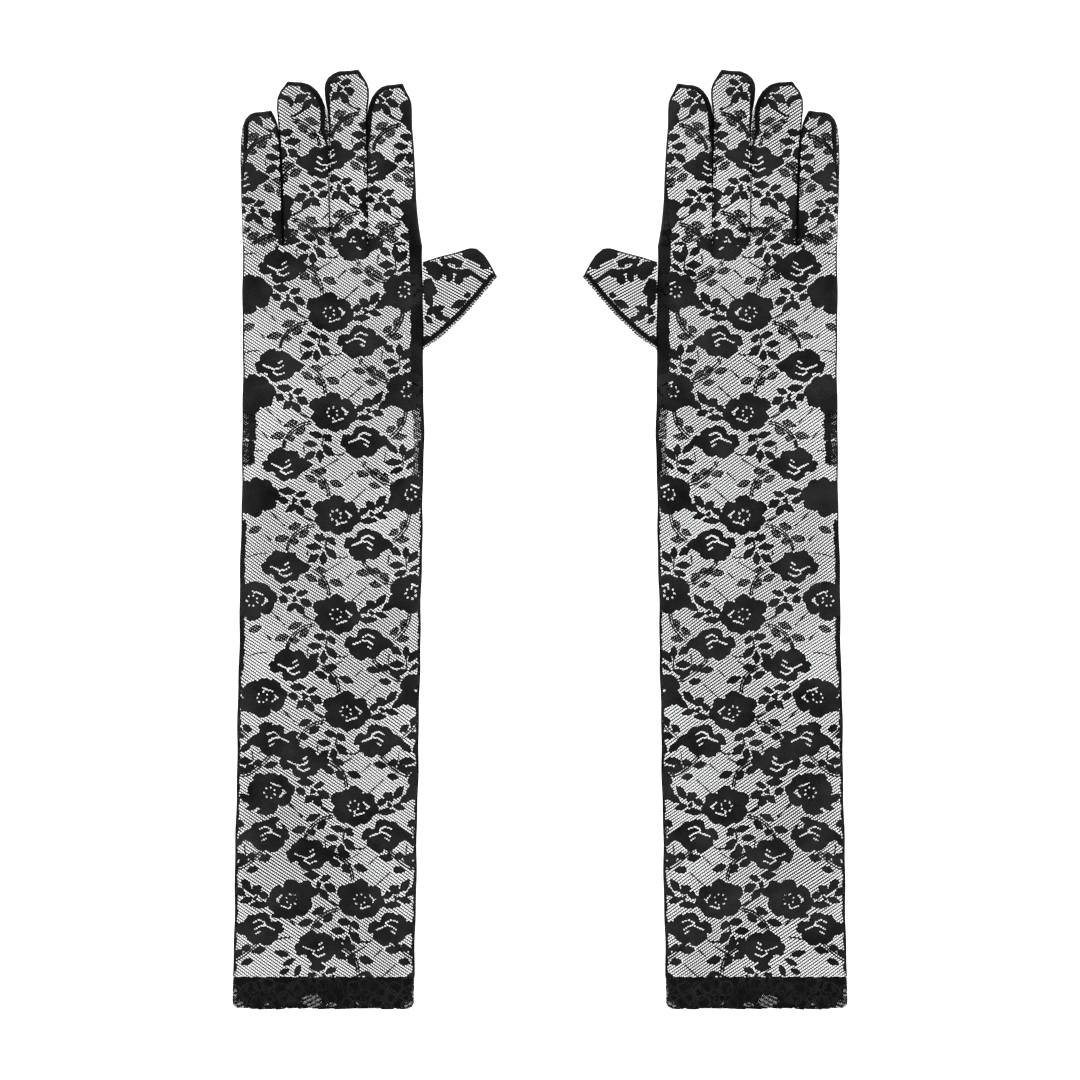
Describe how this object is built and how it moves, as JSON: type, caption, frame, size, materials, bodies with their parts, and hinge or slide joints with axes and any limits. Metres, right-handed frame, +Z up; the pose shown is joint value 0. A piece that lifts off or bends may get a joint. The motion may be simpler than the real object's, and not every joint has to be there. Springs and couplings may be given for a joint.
{
  "type": "opera gloves",
  "caption": "Long floral lace gloves lying flat, palms down, with separate finger stalls, thumbs set to the side, sewn side seams and a doubled hem band.",
  "frame": {"origin": "on the surface that the gloves lie on, at the middle of the pair", "axes": "+X to the right, from the left glove to the right one, +Y towards the fingertips, +Z up out of the backs of the gloves"},
  "size_m": [0.3076, 0.47, 0.007],
  "materials": {
    "lace": "matte",
    "seam": "matte",
    "hem_lace": "matte"
  },
  "bodies": {
    "left_hand": {"left_hand_back": "lace", "left_hand_palm": "lace", "left_hand_outer_seam": "seam", "left_hand_inner_seam": "seam"},
    "left_forearm": {"left_forearm_back": "lace", "left_forearm_palm": "lace", "left_forearm_outer_seam": "seam", "left_forearm_inner_seam": "seam"},
    "left_upper_sleeve": {"left_upper_sleeve_back": "lace", "left_upper_sleeve_palm": "lace", "left_upper_sleeve_outer_seam": "seam", "left_upper_sleeve_inner_seam": "seam", "left_hem_back": "hem_lace", "left_hem_palm": "hem_lace"},
    "left_little": {"left_little_back": "lace", "left_little_palm": "lace", "left_little_side_strip": "seam"},
    "left_ring": {"left_ring_back": "lace", "left_ring_palm": "lace", "left_ring_side_strip": "seam"},
    "left_middle": {"left_middle_back": "lace", "left_middle_palm": "lace", "left_middle_side_strip": "seam"},
    "left_index": {"left_index_back": "lace", "left_index_palm": "lace", "left_index_side_strip": "seam"},
    "left_thumb": {"left_thumb_back": "lace", "left_thumb_palm": "lace", "left_thumb_side_strip": "seam"},
    "right_hand": {"right_hand_back": "lace", "right_hand_palm": "lace", "right_hand_outer_seam": "seam", "right_hand_inner_seam": "seam"},
    "right_forearm": {"right_forearm_back": "lace", "right_forearm_palm": "lace", "right_forearm_outer_seam": "seam", "right_forearm_inner_seam": "seam"},
    "right_upper_sleeve": {"right_upper_sleeve_back": "lace", "right_upper_sleeve_palm": "lace", "right_upper_sleeve_outer_seam": "seam", "right_upper_sleeve_inner_seam": "seam", "right_hem_back": "hem_lace", "right_hem_palm": "hem_lace"},
    "right_little": {"right_little_back": "lace", "right_little_palm": "lace", "right_little_side_strip": "seam"},
    "right_ring": {"right_ring_back": "lace", "right_ring_palm": "lace", "right_ring_side_strip": "seam"},
    "right_middle": {"right_middle_back": "lace", "right_middle_palm": "lace", "right_middle_side_strip": "seam"},
    "right_index": {"right_index_back": "lace", "right_index_palm": "lace", "right_index_side_strip": "seam"},
    "right_thumb": {"right_thumb_back": "lace", "right_thumb_palm": "lace", "right_thumb_side_strip": "seam"}
  },
  "joints": [
    {"name": "left_wrist_fold", "type": "hinge", "parent": "left_hand", "child": "left_forearm", "pos_m": [-0.1035, 0.05, 0.0066], "axis": [-1, 0, 0], "range_deg": [0, 45]},
    {"name": "left_sleeve_fold", "type": "hinge", "parent": "left_forearm", "child": "left_upper_sleeve", "pos_m": [-0.1035, -0.09, 0.0066], "axis": [-1, 0, 0], "range_deg": [0, 150]},
    {"name": "left_little_fold", "type": "hinge", "parent": "left_hand", "child": "left_little", "pos_m": [-0.1387, 0.1475, 0.0066], "axis": [1, 0, 0], "range_deg": [0, 120]},
    {"name": "left_ring_fold", "type": "hinge", "parent": "left_hand", "child": "left_ring", "pos_m": [-0.117, 0.1475, 0.0066], "axis": [1, 0, 0], "range_deg": [0, 120]},
    {"name": "left_middle_fold", "type": "hinge", "parent": "left_hand", "child": "left_middle", "pos_m": [-0.0958, 0.1475, 0.0066], "axis": [1, 0, 0], "range_deg": [0, 120]},
    {"name": "left_index_fold", "type": "hinge", "parent": "left_hand", "child": "left_index", "pos_m": [-0.073, 0.1475, 0.0066], "axis": [1, 0, 0], "range_deg": [0, 120]},
    {"name": "left_thumb_fold", "type": "hinge", "parent": "left_hand", "child": "left_thumb", "pos_m": [-0.05881, 0.117, 0.0066], "axis": [0.0128, -0.9999, 0], "range_deg": [0, 90]},
    {"name": "right_glove_lift", "type": "slide", "parent": "left_hand", "child": "right_hand", "axis": [0, 0, 1], "range_m": [0, 0.1]},
    {"name": "right_wrist_fold", "type": "hinge", "parent": "right_hand", "child": "right_forearm", "pos_m": [0.1035, 0.05, 0.0066], "axis": [-1, 0, 0], "range_deg": [0, 45]},
    {"name": "right_sleeve_fold", "type": "hinge", "parent": "right_forearm", "child": "right_upper_sleeve", "pos_m": [0.1035, -0.09, 0.0066], "axis": [-1, 0, 0], "range_deg": [0, 150]},
    {"name": "right_little_fold", "type": "hinge", "parent": "right_hand", "child": "right_little", "pos_m": [0.1387, 0.1475, 0.0066], "axis": [1, 0, 0], "range_deg": [0, 120]},
    {"name": "right_ring_fold", "type": "hinge", "parent": "right_hand", "child": "right_ring", "pos_m": [0.117, 0.1475, 0.0066], "axis": [1, 0, 0], "range_deg": [0, 120]},
    {"name": "right_middle_fold", "type": "hinge", "parent": "right_hand", "child": "right_middle", "pos_m": [0.0958, 0.1475, 0.0066], "axis": [1, 0, 0], "range_deg": [0, 120]},
    {"name": "right_index_fold", "type": "hinge", "parent": "right_hand", "child": "right_index", "pos_m": [0.073, 0.1475, 0.0066], "axis": [1, 0, 0], "range_deg": [0, 120]},
    {"name": "right_thumb_fold", "type": "hinge", "parent": "right_hand", "child": "right_thumb", "pos_m": [0.05881, 0.117, 0.0066], "axis": [0.0128, 0.9999, 0], "range_deg": [0, 90]}
  ]
}
